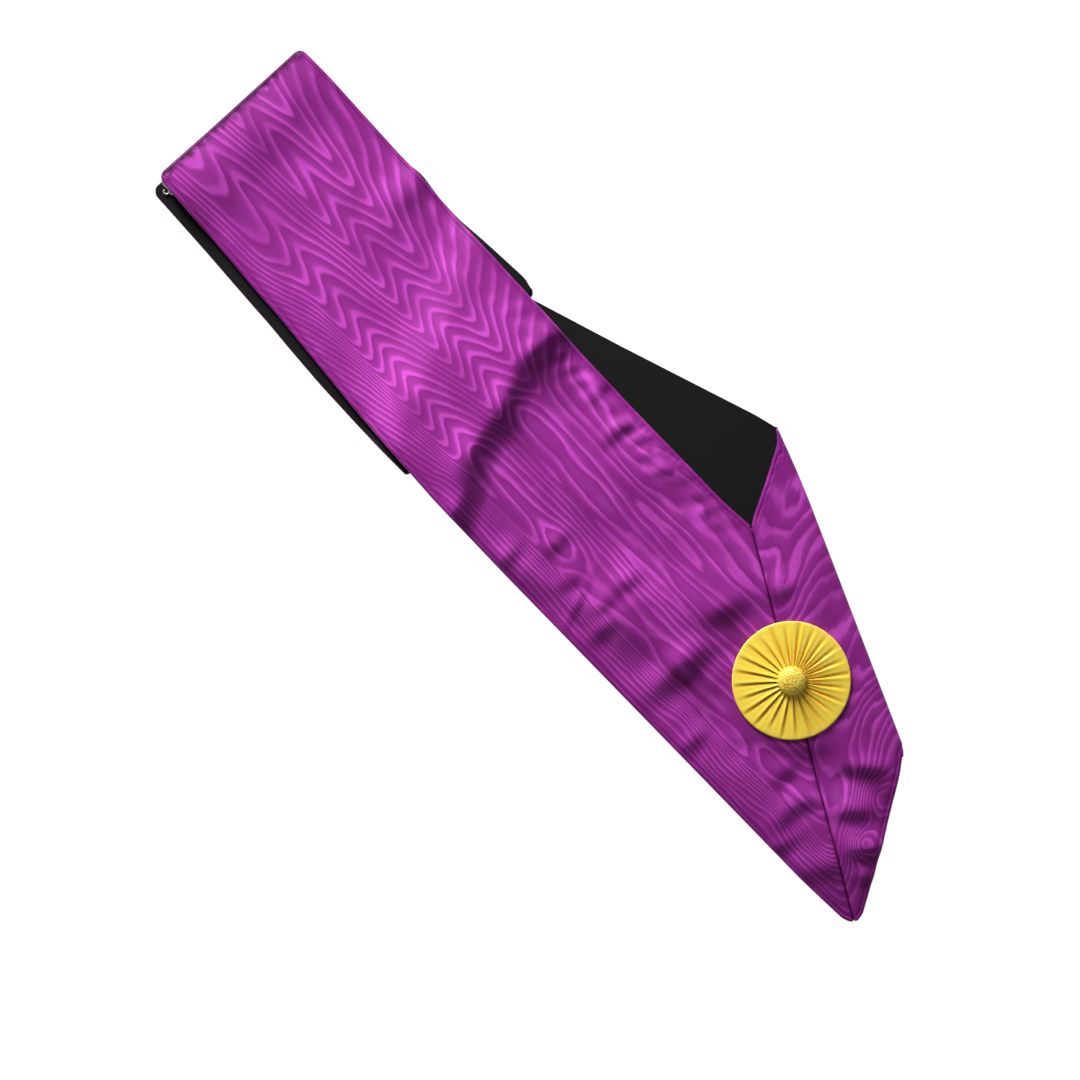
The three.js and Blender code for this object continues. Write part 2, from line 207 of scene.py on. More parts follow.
# The upper strap sags to the floor beyond the cloth that carries it, and climbs over the tuck, with
# a lead that changes over its width. It is lifted at the second, smaller tuck and at the catch, and
# it lies level under the rosette and by the other strap's fold.
SAG_END = 10
SAG_RUN = 14
TUCK_REST = 4
TUCK_SLOPE = 25
TUCK_CLIMB = 16
TUCK_LEAD = [
    (-10, 29), (3, 28.5), (15, 24.5), (28, 19.5), (40, 18.5), (50, 20), (60, 17), (78, 15.5), (92, 19.5),
    (110, 20),
]
SECOND_TUCK_RISE = 3
SECOND_TUCK_LENGTH = 9
SECOND_TUCK_WIDTH = 45
CATCH_LIFT = 3.2
CATCH_REACH = 22
ROSETTE_BED = 32
BED_BLEND = 8
CREASE_BLEND = 18


def carried(along, across):
    """How far the cloth under the upper strap still holds it up, on the way to the V."""
    past = -beyond((RIGHT_FOLD[0], TUCK_FRONT[0]), along, across)
    return smooth((past + SAG_END + SAG_RUN) / SAG_RUN)


def off_tuck(along, across):
    return 1 - smooth((beyond(TUCK_BACK, along, across) - TUCK_REST) / TUCK_SLOPE)


def over_tuck(along, across):
    lead = flowing(np.ravel(across), TUCK_LEAD)[:, 0].reshape(np.shape(across))
    climb = smooth((beyond(TUCK_FRONT, along, across) + lead + TUCK_CLIMB) / TUCK_CLIMB)
    return climb * off_tuck(along, across)


def second_tuck(along, across):
    ridge = hump(along, SECOND_TUCK[0], SECOND_TUCK_LENGTH)
    return SECOND_TUCK_RISE * ridge * smooth((across - SECOND_TUCK[1]) / SECOND_TUCK_WIDTH + 1)


def catch_lift(along, across):
    away = np.hypot(along - CATCH_PLACE[0], across - CATCH_PLACE[1])
    return CATCH_LIFT * hump(away, 0, CATCH_REACH)


def crease_height(along, across):
    return np.full_like(along, HALF_THICK + LAYER)


def under_height(along, across):
    return np.full_like(along, HALF_THICK)


def out_height(along, across):
    return HALF_THICK + 2 * LAYER * off_tuck(along, across) + second_tuck(along, across)


def top_height(along, across):
    layers = carried(along, across) + 2 * over_tuck(along, across)
    lifts = second_tuck(along, across) + catch_lift(along, across) + soft_rises(along, across)
    free = HALF_THICK + LAYER * layers + lifts
    away = np.hypot(along - ROSETTE_PLACE[0], across - ROSETTE_PLACE[1])
    bedded = mix(HALF_THICK + LAYER, free, smooth((away - ROSETTE_BED) / BED_BLEND))
    inside = beyond(RIGHT_FOLD, along, across)
    return mix(HALF_THICK + LAYER, bedded, smooth(np.abs(inside) / CREASE_BLEND))


def row(low, high, height=top_height, fold=None):
    """A row of a strap's plan: its ends on the outer and the neck edge, and the height from there.
    Where the strap folds, the fold's two numbers are the rounding of its ends."""
    return dict(low=np.array(low, float), high=np.array(high, float), height=height, fold=fold)


def mitre_rows(side, corner, neck):
    """The slanted end on the seam, and a row beside it, on the outline to the next two places."""
    tip, notch = np.array(VEE_TIP, float), np.array(VEE_NOTCH, float)
    run = (notch - tip) / np.linalg.norm(notch - tip)
    off = side * np.array([-run[1], run[0]])
    rows = []
    for distance in (0, HALF_THICK):
        ends = []
        for start, end in ((tip, np.array(corner, float)), (notch, np.array(neck, float))):
            pace = distance / np.dot(end - start, off)
            ends.append(start + (end - start) * pace + off * MITRE_GAP / 2)
        rows.append(row(*ends))
    return rows


LEFT_ROWS = [
    *mitre_rows(-1, (0.9, -3.5), (178, 97.3)),
    row((0.9, -3.5), (178, 97.3)),
    row((30, -4.9), (191, 96.3)),
    row((240, -5.6), (255, 96.2)),
    row((290, -5.1), (305, 96.9)),
    row((345, -2.5), (350, 98.2)),
    row((375, -0.1), (380, 98.8)),
    row((394.5, 1.5), (394.5, 99.7)),
    row((408.5, 2.7), (408.5, 100.4)),
    row((422.5, 3.2), (422.5, 100.5)),
    row((455, 5.5), (455, 101.5)),
    row((475, 6.4), (475, 102.1)),
    row((497.5, 7.9), (494.8, 101.8)),
]


def flat_stretch(run, start, face_up, turn, shift):
    """A flat stretch through some rows, each with its place on the cloth's length."""
    lows = np.array([each["low"] for each in run])
    highs = np.array([each["high"] for each in run])
    steps = np.linalg.norm(np.diff((lows + highs) / 2, axis=0), axis=1)
    marks = start + np.concatenate([[0], np.cumsum(steps)])
    knots = np.column_stack([marks, lows, highs])
    return dict(kind="flat", start=start, end=marks[-1], knots=knots, height=run[0]["height"],
                face_up=face_up, turn=turn, shift=shift)


def stretches_of(rows):
    """The flat and folded stretches of a strap in the order of its cloth, each with the turn and
    shift that lay it back in the plane of the first one."""
    stretches = []
    start, face_up, turn, shift = 0.0, 1, np.eye(2), np.zeros(2)
    run = [rows[0]]
    for here in rows[1:]:
        run.append(here)
        if here["fold"] or here is rows[-1]:
            stretches.append(flat_stretch(run, start, face_up, turn, shift))
            start = stretches[-1]["end"]
        if here["fold"]:
            crease = here["high"] - here["low"]
            out = np.array([crease[1], -crease[0]]) / np.linalg.norm(crease)
            if np.dot(out, here["low"] + here["high"] - run[0]["low"] - run[0]["high"]) < 0:
                out = -out
            bend = math.pi * FOLD_RADIUS
            before = crease_height if run[0]["height"] is top_height else run[0]["height"]
            stretches.append(dict(kind="fold", start=start, end=start + bend, row=here, out=out,
                                  before=before, face_up=face_up, turn=turn, shift=shift))
            shift = turn @ (2 * np.dot(here["low"], out) * out + bend * out) + shift
            turn = turn @ (np.eye(2) - 2 * np.outer(out, out))
            start, face_up, run = start + bend, -face_up, [here]
    return stretches


EDGE_ROUNDING = 3.0
ROUNDING_TAPS = 9


def edges_at(stretch, pace):
    """The low and the high end of the lines at some paces of a flat stretch. The edges are straight
    between the rows, and their corners are eased."""
    window = np.minimum(EDGE_ROUNDING, np.minimum(pace - stretch["start"], stretch["end"] - pace))
    knots = stretch["knots"]
    ends = np.zeros((*np.shape(pace), 4))
    for tap in np.linspace(-1, 1, ROUNDING_TAPS):
        at = pace + tap * np.maximum(window, 0)
        for corner in range(4):
            ends[..., corner] += np.interp(at, knots[:, 0], knots[:, 1 + corner]) / ROUNDING_TAPS
    return ends[..., :2], ends[..., 2:]


PACE_CHECK = 0.5


def share_per_mm(stretches, pace):
    """Shares of a line that make a millimetre square to the low and to the high edge."""
    low_rate, high_rate = np.zeros_like(pace), np.zeros_like(pace)
    for index, stretch in enumerate(stretches):
        here = (pace >= stretch["start"]) & (pace <= stretch["end"])
        at = pace[here]
        if stretch["kind"] == "fold":
            stretch = stretches[index - 1]
            at = np.full_like(at, stretch["end"])
        low, high = edges_at(stretch, at)
        inner = np.clip(at, stretch["start"] + PACE_CHECK, stretch["end"] - PACE_CHECK)
        low_before, high_before = edges_at(stretch, inner - PACE_CHECK)
        low_after, high_after = edges_at(stretch, inner + PACE_CHECK)
        for rate, drift in ((low_rate, low_after - low_before), (high_rate, high_after - high_before)):
            line = high - low
            square = np.abs(line[..., 0] * drift[..., 1] - line[..., 1] * drift[..., 0])
            rate[here] = np.linalg.norm(drift, axis=-1) / np.maximum(square, 1e-6)
    return low_rate, high_rate


# The share of a fold's bulge that is left at its very ends.
FOLD_END = 0.35


def on_strap(stretches, pace, share, offset):
    """Places (across, along, height) of points on a strap, and where they lie on its cloth laid flat.
    The offset is off the strap's middle, towards its face."""
    places = np.zeros((*np.shape(pace), 3))
    laid = np.zeros((*np.shape(pace), 2))
    for stretch in stretches:
        here = (pace >= stretch["start"]) & (pace <= stretch["end"])
        s, o = share[here], offset[here]
        if stretch["kind"] == "flat":
            low, high = edges_at(stretch, pace[here])
            spot = low + (high - low) * s[:, None]
            height = stretch["height"](spot[:, 0], spot[:, 1]) + o * stretch["face_up"]
            flat = spot
        else:
            low, high, out = stretch["row"]["low"], stretch["row"]["high"], stretch["out"]
            angle = math.pi * (pace[here] - stretch["start"]) / (stretch["end"] - stretch["start"])
            spot = low + (high - low) * s[:, None]
            begin = stretch["before"](spot[:, 0], spot[:, 1])
            close = stretch["row"]["height"](spot[:, 0], spot[:, 1])
            side = np.sign(begin - close)
            reach = np.abs(begin - close) / 2 + o * stretch["face_up"] * side
            height = (begin + close) / 2 + side * reach * np.cos(angle)
            flat = spot + out * (angle * FOLD_RADIUS)[:, None]
            eased = np.ones_like(s)
            for share_in, corner in zip((s, 1 - s), stretch["row"]["fold"]):
                inside = np.clip(share_in * np.linalg.norm(high - low) / corner, 0, 1)
                eased *= mix(FOLD_END, 1, np.sin(inside * math.pi / 2))
            spot = spot + out * (reach * np.sin(angle) * eased)[:, None]
        places[here] = np.column_stack([spot[:, 1], spot[:, 0], height])
        laid[here] = flat @ stretch["turn"].T + stretch["shift"]
    return places, laid


def roll_edges(side, end, side_start, end_start, radius, corner):
    """Insets from the long edge and the nape edge, and the drop, of cloth that rolls over both. Near
    the corner the square mesh is drawn in to a quarter round."""
    side, end = side + corner - side_start, end + corner - end_start
    both = (side > 0) & (end > 0)
    lean = np.where(both, side**2 / (side**2 + end**2 + 1e-9), side >= end)
    reach = corner - mix(end_start, side_start, lean)
    far = np.maximum(side, end)
    angle = np.maximum(far - reach, 0) / radius
    rolled = np.where(angle > 0, reach + radius * np.sin(angle), far)
    pull = rolled / np.maximum(np.where(both, np.hypot(side, end), np.abs(far)), 1e-6)
    side_in = corner - side * np.where(both | (angle > 0) & (side >= end), pull, 1)
    end_in = corner - end * np.where(both | (angle > 0) & (end > side), pull, 1)
    return side_in, end_in, radius * (1 - np.cos(angle))


NEAR_EDGE = (0.3, 0.6, 0.9, 1.15, 1.4, 1.7, 2.2, 3.0, 4.2, 5.6)
ROLL_STEPS = 6
FINE_CELL = 1.25
COARSE_CELL = 2.2
COLUMN_CELL = 1.25
FOLD_CELLS = 12
SEAM_CELLS = (0, 0.06, 0.2, 0.42, 0.7, 1)
FAR_OFF = -1000.0
PROBE_PACE = 20
PROBE_WIDTH = 100


def near_outs(radius, turn):
    """Steps from the rolled edge inwards: positive on the roll, and negative on the flat."""
    roll = [radius * turn * (1 - step / ROLL_STEPS) for step in range(ROLL_STEPS)]
    return [*roll, 0, *(-distance for distance in NEAR_EDGE)]


def pace_rows(stretches, rim, fine_reach):
    """The paces of a cloth's lines from the seam to the nape, each with its step out over the edge.
    The lines lie close together as far as the fine reach, where the cloth has its dents."""
    first = stretches[0]["knots"][1, 0]
    paces = [first * share for share in SEAM_CELLS]
    stop = stretches[-1]["end"] - rim[-1][0]
    for stretch in stretches:
        start = max(stretch["start"], first)
        end = min(stretch["end"], stop)
        runs = [(start, end, COARSE_CELL)]
        if stretch["kind"] == "fold":
            runs = [(start, end, (end - start) / FOLD_CELLS)]
        elif start < fine_reach:
            close = min(end, fine_reach)
            runs = [(start, close, FINE_CELL), (close, end, COARSE_CELL)]
        for begin, close, size in runs:
            cells = math.ceil((close - begin) / size - 1e-6)
            paces += [begin + (close - begin) * cell / cells for cell in range(1, cells + 1)]
    rows = [(pace, FAR_OFF) for pace in paces[:-1]]
    return rows + [(None, out) for _, out in reversed(rim)]


def finished(bm, name):
    """The shape as a smooth piece of the scene."""
    for face in bm.faces:
        face.smooth = True
    mesh = bpy.data.meshes.new(name)
    bm.to_mesh(mesh)
    bm.free()
    return linked(name, mesh)


def lay_cloth(name, stretches, side, flat_offset, radius, outer_edge, neck_edge, fine_reach,
              relief=None):
    """One cloth of a strap as a sheet: side is 1 for the face and -1 for the lining. It lies at an
    offset from the strap's middle. Each edge is an inset and an angle: from that inset on, the
    cloth rolls over the edge through that angle. The nape end is finished like the neck edge."""
    low_outs, high_outs = near_outs(radius, outer_edge[1]), near_outs(radius, neck_edge[1])
    low_inset, high_inset = outer_edge[0] - low_outs[-1], neck_edge[0] - high_outs[-1]
    rim = [(neck_edge[0] - out, out) for out in high_outs]
    rows = pace_rows(stretches, rim, fine_reach)
    width = np.linalg.norm(stretches[-1]["knots"][-1, 1:3] - stretches[-1]["knots"][-1, 3:5])
    cells = round((width - low_inset - high_inset) / COLUMN_CELL)
    mids = [cell / cells for cell in range(1, cells)]
    low_out = np.array(low_outs + [FAR_OFF] * (len(mids) + len(high_outs)))
    high_out = np.array([FAR_OFF] * (len(mids) + len(low_outs)) + high_outs[::-1])
    middle = np.array([0.0] * len(low_outs) + mids + [1.0] * len(high_outs))

    bm = bmesh.new()
    columns = len(middle)
    bmesh.ops.create_grid(bm, x_segments=columns - 1, y_segments=len(rows) - 1, size=0.5)
    grid = np.array([(vert.co.x + 0.5, vert.co.y + 0.5) for vert in bm.verts])
    column = np.rint(grid[:, 0] * (columns - 1)).astype(int)
    line = np.rint(grid[:, 1] * (len(rows) - 1)).astype(int)

    out_end = np.array([out for _, out in rows])[line]
    on_low, on_high = low_out[column] > FAR_OFF, high_out[column] > FAR_OFF
    out_side = np.maximum(low_out, high_out)[column]
    side_start = np.where(on_low, outer_edge[0], neck_edge[0])
    side_in, end_in, drop = roll_edges(out_side, out_end, side_start, neck_edge[0], radius,
                                       NAPE_CORNER)
    length = stretches[-1]["end"]
    fixed = np.array([0.0 if pace is None else pace for pace, _ in rows])[line]
    pace = np.where(out_end > FAR_OFF, length - end_in, fixed)
    low_rate, high_rate = share_per_mm(stretches, pace)
    from_low, from_high = low_inset * low_rate, 1 - high_inset * high_rate
    share = mix(from_low, from_high, middle[column])
    share = np.where(on_low, side_in * low_rate, share)
    share = np.where(on_high, 1 - side_in * high_rate, share)

    laid = on_strap(stretches, pace, share, np.zeros_like(pace))[1]
    along, across = laid[:, 0], laid[:, 1]
    seam = np.abs(beyond((VEE_TIP, VEE_NOTCH), along, across)) - MITRE_GAP / 2
    edge = np.minimum(np.where(on_low, side_in, share / low_rate),
                      np.where(on_high, side_in, (1 - share) / high_rate))
    hem = length - pace
    offset = flat_offset - drop
    if relief is not None:
        offset = relief(offset, edge, hem, seam, share, along, across)
    places, laid = on_strap(stretches, pace, share, offset * side)
    # No cloth sinks into the floor.
    places[:, 2] = np.maximum(places[:, 2], 0)

    for vert, (x, y, height) in zip(bm.verts, places):
        vert.co = in_frame(y, x, height)
    bm.normal_update()
    bm.verts.ensure_lookup_table()
    # A place in the middle of the first stretch tells which way the faces look.
    probe = np.argmin(np.abs(pace - PROBE_PACE) + np.abs(share - 0.5) * PROBE_WIDTH)
    if bm.verts[probe].normal.z * side < 0:
        bmesh.ops.reverse_faces(bm, faces=bm.faces)
    cloth = finished(bm, name)
    for label, values in (("edge", edge), ("hem", hem)):
        cloth.data.attributes.new(label, "FLOAT", "POINT").data.foreach_set("value", values)
    return cloth, laid, share


# The low relief beside an edge: the distance of its middle, its width, and its height.
CHANNEL = (2.3, 0.5, -0.25)
RIPPLE = (3.4, 1.8, 0.1)
PUCKERS = (9, 5, 0.42)
GATHERS = (3.5, 1.5, 0.3)
HEM_GROOVE = (2.1, 0.45, -0.07)
PUCKER_RUN = (150, 345)
PUCKER_LIMIT = 106
SEAM_ROLL = 1.9
SEAM_FADE = 3


def band(distance, form):
    middle, width, height = form
    return height * hump(distance, middle, width)


def uneven(x, rate, sway, slow, lean=0):
    """A wave whose crests lie at uneven distances."""
    return np.sin(x * rate + sway * np.sin(x * slow) + lean)


def face_relief(offset, edge, hem, seam, share, along, across):
    """The face's own low relief: the roll into the seam, the stitched channel by each edge, the
    puckers beside the neck edge, and the gathers of the hem at the nape."""
    into = np.clip(1 - seam / SEAM_ROLL, 0, 1)
    offset = np.minimum(offset, HALF_THICK * np.sqrt(1 - into**2))
    neck = smooth((share - 0.6) / 0.2) * smooth((PUCKER_LIMIT - across) / 4)
    neck *= smooth((along - PUCKER_RUN[0]) / 40) * smooth((PUCKER_RUN[1] - along) / 30)
    relief = band(edge, CHANNEL) + band(hem, HEM_GROOVE)
    relief += band(edge, RIPPLE) * uneven(along, 1.25, 2.1, 0.31)
    relief += band(edge, PUCKERS) * uneven(along, 0.52, 1.7, 0.13, across * 0.3) * neck
    relief += band(hem, GATHERS) * uneven(across, 1.3, 2.2, 0.29)
    return offset + relief * smooth(seam / SEAM_FADE)


ROLLED_UNDER = (HALF_THICK, math.radians(120))
BUTTED = (HALF_THICK + 0.3, math.radians(95))
LEFT_FINE = 215
left_stretches = stretches_of(LEFT_ROWS)
left_face, left_laid, left_share = lay_cloth(
    "left_strap_moire", left_stretches, 1, HALF_THICK, HALF_THICK, ROLLED_UNDER, ROLLED_UNDER,
    LEFT_FINE, face_relief,
)

# The lines of the watered finish are the rings of an unseen relief, counted in cycles. In the nape
# half they zigzag across the ribbon, and from the first tuck to the V they run with its length.
WATER_ALONG = [
    (-20, 15.7), (20, 15.9), (50, 15.5), (75, 16.0), (100, 16.3), (130, 15.9), (150, 15.6), (170, 15.3),
    (190, 15.5), (210, 15.9), (235, 16.2), (260, 16.0), (278, 16.0), (288, 15.8), (293, 15.4),
    (299, 14.5), (307, 13.7), (314, 13.0), (323.5, 12), (333, 11), (342.3, 10), (353, 9), (361.6, 8),
    (370.6, 7), (380.6, 6), (394.5, 5), (408.5, 4), (422.2, 3), (438.3, 2), (452, 1.5), (467.3, 1),
    (484.4, 0), (510, -1.5),
]
WATER_MIDDLE = [
    (-8, -13.2), (-3, -11.6), (-0.3, -10.6), (2.4, -9.6), (5.1, -8.6), (7.7, -7.6), (9.7, -6.6),
    (11.2, -5.6), (12.6, -4.6), (13.9, -3.6), (15.2, -2.6), (17.5, -2.0), (21, -2.3), (25.5, -3.0),
    (29, -2.7), (32, -2.1), (36.5, -1), (39.5, 0), (42, 1), (43.8, 1.7), (45.8, 2.05), (48.5, 1.7),
    (52, 1.0), (55.5, 0.55), (59, 0.95), (63, 1.7), (66, 2.4), (68.2, 2.6), (71, 2.3), (74.4, 1.45),
    (77, 1.0), (79.7, 0.55), (83, 0.25), (87, -0.2), (92.6, -0.8), (104, -1.8),
]
WATER_NAPE_EDGE = [
    (-8, -8.4), (-4, -7.3), (-1.2, -6.3), (2.3, -5.3), (4.4, -4.3), (7.1, -3.3), (9.6, -2.5),
    (13, -2.15), (17.5, -2.0),
]
WATER_NAPE = WATER_NAPE_EDGE + [knot for knot in WATER_MIDDLE if knot[0] > WATER_NAPE_EDGE[-1][0]]
WATER_CHANGE = (365, 440)
RIBBON_LOW, RIBBON_WIDTH = -4.5, 100.7


def hills(ahead, aside, table):
    """Round hills of the unseen relief: places, reaches and heights in cycles."""
    cycles = np.zeros_like(ahead)
    for at, side, length, width, rise in table:
        cycles += rise * hump(ahead, at, length) * hump(aside, side, width)
    return cycles


LEFT_HILLS = [
    (232, 24, 13, 9, 1.7), (210, 62, 40, 6, -0.8), (160, 52, 30, 6, 0.9), (168, 71, 20, 6, 0.8),
    (105, 24, 16, 8, -1.2), (82, 22, 12, 7, 1.0), (58, 30, 13, 8, 1.2), (36, 14, 12, 7, -1.0),
    (140, 88, 25, 8, 0.9), (250, 88, 22, 9, 1.2), (205, 90, 20, 8, -0.9), (62, 6, 12, 6, 1.3),
    (98, 6, 13, 5, -1.1), (44, 30, 8, 6, 1.1), (128, 10, 12, 6, 1.0),
]


def left_water(laid, share):
    along, across = laid[:, 0], RIBBON_LOW + RIBBON_WIDTH * np.clip(share, 0, 1)
    nape = smooth((along - WATER_CHANGE[0]) / (WATER_CHANGE[1] - WATER_CHANGE[0]))
    zigzag = mix(flowing(across, WATER_MIDDLE)[:, 0], flowing(across, WATER_NAPE)[:, 0], nape)
    return flowing(along, WATER_ALONG)[:, 0] - zigzag + hills(along, across, LEFT_HILLS)


def water(cloth, ribbon, rings):
    """Gives a face the places on its ribbon, and the rings there."""
    spread = np.column_stack([ribbon, np.zeros(len(ribbon))]).ravel()
    cloth.data.attributes.new("ribbon", "FLOAT_VECTOR", "POINT").data.foreach_set("vector", spread)
    cloth.data.attributes.new("water", "FLOAT", "POINT").data.foreach_set("value", rings)


water(left_face, left_laid, left_water(left_laid, left_share))


def add_solid(cloth, thickness):
    """The sheet becomes a cloth of real thickness, built inwards from its outer skin."""
    wall = cloth.modifiers.new("thickness", "SOLIDIFY")
    wall.thickness = thickness * MM
    wall.offset = -1


add_solid(left_face, CLOTH)


def new_material(name):
    material = bpy.data.materials.new(name)
    material.use_nodes = True
    return material, material.node_tree, material.node_tree.nodes["Principled BSDF"]


def srgb(red, green, blue):
    """A colour given in the usual 0 to 255, as the shader takes it."""
    parts = [part / 255 for part in (red, green, blue)]
    return (*(p / 12.92 if p <= 0.04045 else ((p + 0.055) / 1.055) ** 2.4 for p in parts), 1)


def put(tree, value, socket):
    """Links a node's outlet to a socket, or sets the socket to a number or a colour."""
    if isinstance(value, bpy.types.NodeSocket):
        tree.links.new(value, socket)
    else:
        socket.default_value = value


def attribute(tree, name):
    node = tree.nodes.new("ShaderNodeAttribute")
    node.attribute_name = name
    return node


def noise(tree, places, scale, detail=2, roughness=0.5, stretch=(1, 1, 1)):
    """Cloudy noise over some places, which are stretched first."""
    mapping = tree.nodes.new("ShaderNodeMapping")
    mapping.inputs["Scale"].default_value = stretch
    tree.links.new(places, mapping.inputs["Vector"])
    node = tree.nodes.new("ShaderNodeTexNoise")
    node.inputs["Scale"].default_value = scale
    node.inputs["Detail"].default_value = detail
    node.inputs["Roughness"].default_value = roughness
    tree.links.new(mapping.outputs["Vector"], node.inputs["Vector"])
    return node.outputs["Fac"]


def ranged(tree, value, given, wanted, way="SMOOTHSTEP"):
    """A value carried over from one range to another."""
    node = tree.nodes.new("ShaderNodeMapRange")
    node.interpolation_type = way
    for socket, number in zip(list(node.inputs)[1:5], (*given, *wanted)):
        socket.default_value = number
    tree.links.new(value, node.inputs["Value"])
    return node.outputs["Result"]


def blended(tree, factor, first, second):
    node = tree.nodes.new("ShaderNodeMix")
    node.data_type = "RGBA"
    tree.links.new(factor, node.inputs["Factor"])
    put(tree, first, node.inputs["A"])
    put(tree, second, node.inputs["B"])
    return node.outputs["Result"]


def bumped(tree, height, strength, depth, shader):
    """Fine relief on a shader's surface, with its depth in millimetres."""
    bump = tree.nodes.new("ShaderNodeBump")
    bump.inputs["Strength"].default_value = strength
    bump.inputs["Distance"].default_value = depth * MM
    tree.links.new(height, bump.inputs["Height"])
    tree.links.new(bump.outputs["Normal"], shader.inputs["Normal"])


# How bright the watered line is over one cycle of the rings.
WATER_LINE = [
    (0, 0.5), (0.05, 0.26), (0.1, 0.16), (0.2, 0.19), (0.35, 0.27), (0.5, 0.31), (0.6, 0.42),
    (0.68, 0.7), (0.76, 0.9), (0.88, 1), (0.95, 0.88), (1, 0.5),
]


def moire_silk():
    """Watered ribbon: bright lines with one sharp side over a deeper ground, on a fine cross rib."""
    material, tree, shader = new_material("purple_moire")

    def maths(operation, first, second=None):
        node = tree.nodes.new("ShaderNodeMath")
        node.operation = operation
        put(tree, first, node.inputs[0])
        if second is not None:
            put(tree, second, node.inputs[1])
        return node.outputs[0]

    def swing(value, amount):
        return maths("MULTIPLY", maths("SUBTRACT", value, 0.5), amount)

    # The lines drift slowly, stray less towards the nape, and are finely jagged.
    ribbon = attribute(tree, "ribbon").outputs["Vector"]
    drift = noise(tree, ribbon, 0.035, stretch=(0.6, 1, 1))
    stray = noise(tree, ribbon, 0.1, stretch=(0.32, 1.3, 1))
    jag = noise(tree, ribbon, 1.0, roughness=0.6, stretch=(1.6, 0.3, 1))
    apart = tree.nodes.new("ShaderNodeSeparateXYZ")
    tree.links.new(ribbon, apart.inputs["Vector"])
    free = ranged(tree, apart.outputs["X"], (330, 230), (0.15, 1))
    waved = attribute(tree, "water").outputs["Fac"]
    for wander, amount in ((drift, 0.9), (stray, maths("MULTIPLY", free, 1.3)), (jag, 0.1)):
        waved = maths("ADD", waved, swing(wander, amount))
    line = tree.nodes.new("ShaderNodeValToRGB")
    stops = line.color_ramp.elements
    stops[0].position, stops[1].position = 0, 1
    for place, _ in WATER_LINE[1:-1]:
        stops.new(place)
    for stop, (_, level) in zip(stops, WATER_LINE):
        stop.color = (level, level, level, 1)
    tree.links.new(maths("FRACT", waved), line.inputs["Fac"])

    # They are weaker in patches and over the turned edges. At the hem they are weaker still and the
    # ground is painted in shade: a dark, ragged band along the nape end stands in for the shade of the
    # hem's gathers and roll.
    edge = attribute(tree, "edge").outputs["Fac"]
    nape = attribute(tree, "hem").outputs["Fac"]
    patches = noise(tree, ribbon, 0.05, 3, stretch=(0.7, 1.2, 1))
    strength = ranged(tree, patches, (0.32, 0.68), (0.42, 1.08))
    hemmed = ranged(tree, edge, (2.8, 5.6), (0.35, 1))
    bright = line.outputs["Color"]
    for share in (strength, hemmed, ranged(tree, nape, (1.5, 4), (0.4, 1))):
        bright = maths("MULTIPLY", bright, share)
    threads = maths("MULTIPLY", maths("SINE", maths("MULTIPLY", edge, 5.2)), 0.12)
    threads = maths("MULTIPLY", threads, maths("SUBTRACT", 1, hemmed))
    bright = maths("ADD", bright, threads)
    # Painted shade at the hem: within a ragged few millimetres of the nape end the ground turns a deep
    # purple.
    hem_shade_reach = maths("ADD", nape, swing(noise(tree, ribbon, 0.28), 9))
    inner = ranged(tree, hem_shade_reach, (0.6, 5.5), (0.1, 1))
    ground = blended(tree, bright, srgb(122, 24, 115), srgb(191, 71, 185))
    tree.links.new(blended(tree, inner, srgb(70, 8, 62), ground), shader.inputs["Base Color"])
    bumped(tree, noise(tree, ribbon, 1.0, 1, stretch=(2.6, 0.12, 1)), 0.35, 0.06, shader)
    shader.inputs["Roughness"].default_value = 0.5
    shader.inputs["Specular IOR Level"].default_value = 0.15
    return material


purple_moire = moire_silk()
left_face.data.materials.append(purple_moire)
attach(left_face, "root")
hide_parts("left_strap_face")

# The short strap's face: the same ribbon. It runs from the V's seam up to the neck, folds under
# itself at the right, runs below the long strap, and is turned back and out again in a flat tuck.
RIGHT_ROWS = [
    *mitre_rows(1, (-3.7, 2.4), (174.8, 99.9)),
    row((-3.7, 2.4), (174.8, 99.9)),
    row((17, 37.4), (184.3, 118.6)),
    row((35, 65.8), (193.4, 135)),
    row(*RIGHT_FOLD, height=under_height, fold=(8, 45)),
    row((56, 67.5), (210.5, 137.4), under_height),
    row((175, 37.6), (280, 113.6), under_height),
    row(*TUCK_BACK, height=crease_height, fold=(3, 3)),
    row(*TUCK_FRONT, height=out_height, fold=(4, 3)),
    row((325, -6.8), (337, 102.3), out_height),
    row((342, -6.7), (358, 101.0), out_height),
    row((370, -6.0), (380, 99.4), out_height),
    row((394.5, -4.5), (394.5, 99.8), out_height),
    row((408.5, -3.4), SECOND_TUCK, out_height),
    row((422.5, -2.8), (422.5, 99.9), out_height),
    row((456, -1.0), (456, 99.7), out_height),
    row((495.4, 0.6), (492.6, 98.5), out_height),
]
right_stretches = stretches_of(RIGHT_ROWS)
RIGHT_FINE = 82
right_face, right_laid, _ = lay_cloth(
    "right_strap_moire", right_stretches, 1, HALF_THICK, HALF_THICK, ROLLED_UNDER, BUTTED,
    RIGHT_FINE, face_relief,
)

# Its rings run with its own length, which leans away from the long strap's. They are counted from
# the V's outer corner: ahead along the ribbon, and aside over it.
RIGHT_CORNER = (-3.4, 3.4)
RIGHT_LEAN = math.radians(58.8)
RIGHT_ASIDE = [
    (-10, -2.6), (0, -2.0), (6, -1.6), (10, -0.9), (13, 0.2), (16.5, 1.9), (20.5, 3.8), (24, 4.7),
    (29, 5.0), (35, 4.7), (42, 5.5), (50, 6.6), (58, 7.2), (66, 7.8), (74, 8.6), (82, 9.2), (90, 9.6),
    (100, 9.9), (112, 10.2),
]
RIGHT_AHEAD = [
    (-20, -0.4), (0, 0), (25, 0.5), (45, -0.2), (60, 0.5), (75, 0), (100, 0.8), (118, 2.2), (135, 3.0),
    (150, 3.1), (170, 4.6), (190, 5.6), (220, 6.6), (300, 5.0), (380, 7.0), (460, 4.0), (540, 8.0),
    (640, 16.0),
]
